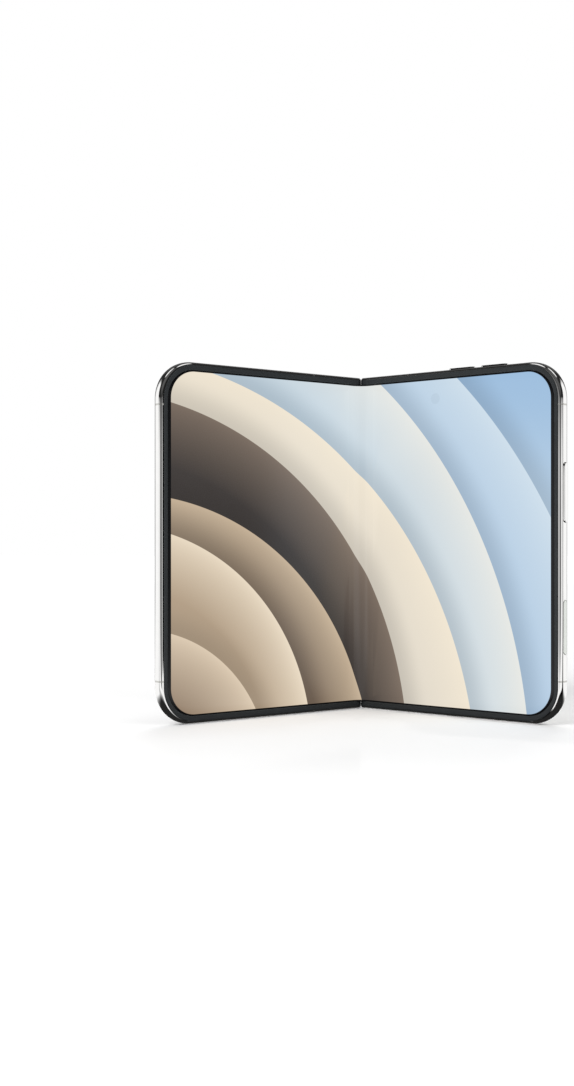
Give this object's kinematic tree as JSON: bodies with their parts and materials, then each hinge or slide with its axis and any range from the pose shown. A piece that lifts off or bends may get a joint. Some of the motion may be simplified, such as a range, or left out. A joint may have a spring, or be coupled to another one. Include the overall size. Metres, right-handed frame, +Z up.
{
  "type": "foldable smartphone",
  "caption": "Book-fold smartphone standing part open, with a flexible inner display, geared hinge, glass backs, a raised camera plateau and polished rails.",
  "frame": {"origin": "centre of the whole phone's box, on the surface that its bottom edges stand on", "axes": "+Z up along the fold; the inner display faces -Y and the hinge spine is at +Y; +X is the camera half's side, to the right seen from the front"},
  "size_m": [0.136, 0.0567, 0.121],
  "materials": {
    "polished_steel": "mirror polished",
    "antenna_resin": "satin",
    "control_glass": "gloss",
    "chassis_aluminium": "machined",
    "spring_steel": "fine brushed",
    "hinge_steel": "satin",
    "screw_steel": "satin",
    "black_bezel": "satin",
    "flexible_display": null,
    "flat_cable": "satin",
    "cover_glass": "gloss",
    "cover_display": "gloss",
    "white_glass": "frosted back, satin face",
    "lens_glass": "coated gloss",
    "camera_black": "satin",
    "flash_lens": "prismatic",
    "battery_wrap": "satin film",
    "circuit_board": "solder mask",
    "shield_can": "stamped",
    "copper_winding": "lacquered winding",
    "module_plastic": "satin",
    "magnet": "nickel plated"
  },
  "bodies": {
    "hinge_spine": {"spine_cover": "polished_steel", "spine_end_caps": "polished_steel", "hinge_carriers": "hinge_steel", "carrier_screws": "screw_steel", "friction_discs": "spring_steel", "display_fold": "flexible_display", "fold_support_sheet": "spring_steel", "hinge_flex": "flat_cable"},
    "cover_half": {"cover_half_rail": "polished_steel", "cover_half_antenna_breaks": "antenna_resin", "cover_half_midplate": "chassis_aluminium", "cover_half_bezel": "black_bezel", "cover_half_inner_display": "flexible_display", "cover_half_support_plate": "spring_steel", "cover_half_hinge_arms": "hinge_steel", "cover_half_hinge_pins": "hinge_steel", "cover_half_hinge_screws": "screw_steel", "cover_glass": "cover_glass", "cover_display": "cover_display", "cover_camera": "camera_black", "earpiece": "module_plastic", "cover_half_battery": "battery_wrap", "cover_half_board": "circuit_board", "cover_half_speaker": "module_plastic", "cover_half_magnets": "magnet"},
    "camera_half": {"camera_half_rail": "polished_steel", "camera_half_antenna_breaks": "antenna_resin", "camera_half_midplate": "chassis_aluminium", "camera_half_bezel": "black_bezel", "camera_half_inner_display": "flexible_display", "camera_half_support_plate": "spring_steel", "camera_half_hinge_arms": "hinge_steel", "camera_half_hinge_pins": "hinge_steel", "camera_half_hinge_screws": "screw_steel", "back_glass": "white_glass", "main_camera_ring": "polished_steel", "wide_camera_ring": "polished_steel", "main_lens_cover": "lens_glass", "wide_lens_cover": "lens_glass", "main_camera_module": "camera_black", "wide_camera_module": "camera_black", "flash_window": "flash_lens", "rear_microphone": "camera_black", "under_display_camera": "camera_black", "camera_half_battery": "battery_wrap", "main_board": "circuit_board", "board_shields": "shield_can", "charging_coil": "copper_winding", "vibration_motor": "shield_can", "camera_half_speaker": "module_plastic", "camera_half_magnets": "magnet", "charging_port": "shield_can", "port_screws": "screw_steel", "button_switches": "module_plastic"},
    "cover_side_idler": {"cover_side_idler_gears": "hinge_steel"},
    "camera_side_idler": {"camera_side_idler_gears": "hinge_steel"},
    "side_button": {"side_button": "polished_steel"},
    "volume_up_button": {"volume_up_button": "polished_steel"},
    "volume_down_button": {"volume_down_button": "polished_steel"},
    "camera_control": {"camera_control": "control_glass"}
  },
  "joints": [
    {"name": "camera_half_fold", "type": "hinge", "parent": "hinge_spine", "child": "camera_half", "pos_m": [0.0022, 0.02502, 0], "axis": [0, 0, 1], "range_deg": [-51, 39], "deforming": ["display_fold", "fold_support_sheet", "hinge_flex"]},
    {"name": "cover_half_fold", "type": "hinge", "parent": "hinge_spine", "child": "cover_half", "pos_m": [-0.0022, 0.02502, 0], "axis": [0, 0, 1], "range_deg": [-39, 51]},
    {"name": "camera_side_idler_spin", "type": "hinge", "parent": "hinge_spine", "child": "camera_side_idler", "pos_m": [0.00073, 0.02502, 0], "axis": [0, 0, 1], "range_deg": [-39, 51]},
    {"name": "cover_side_idler_spin", "type": "hinge", "parent": "hinge_spine", "child": "cover_side_idler", "pos_m": [-0.00073, 0.02502, 0], "axis": [0, 0, 1], "range_deg": [-51, 39]},
    {"name": "side_button_press", "type": "slide", "parent": "camera_half", "child": "side_button", "axis": [-0.7771, 0.6293, 0], "range_m": [0, 0.0003], "stiffness_N_per_m": 5000, "springref_m": -0.0001},
    {"name": "camera_control_press", "type": "slide", "parent": "camera_half", "child": "camera_control", "axis": [-0.7771, 0.6293, 0], "range_m": [0, 0.00015], "stiffness_N_per_m": 8000, "springref_m": -0.0001},
    {"name": "volume_up_press", "type": "slide", "parent": "camera_half", "child": "volume_up_button", "axis": [0, 0, -1], "range_m": [0, 0.0003], "stiffness_N_per_m": 5000, "springref_m": -0.0001},
    {"name": "volume_down_press", "type": "slide", "parent": "camera_half", "child": "volume_down_button", "axis": [0, 0, -1], "range_m": [0, 0.0003], "stiffness_N_per_m": 5000, "springref_m": -0.0001}
  ],
  "couplings": [
    {"joint": "cover_half_fold", "follows": "camera_half_fold", "ratio": -1},
    {"joint": "camera_side_idler_spin", "follows": "camera_half_fold", "ratio": -1},
    {"joint": "cover_side_idler_spin", "follows": "camera_half_fold", "ratio": 1}
  ]
}
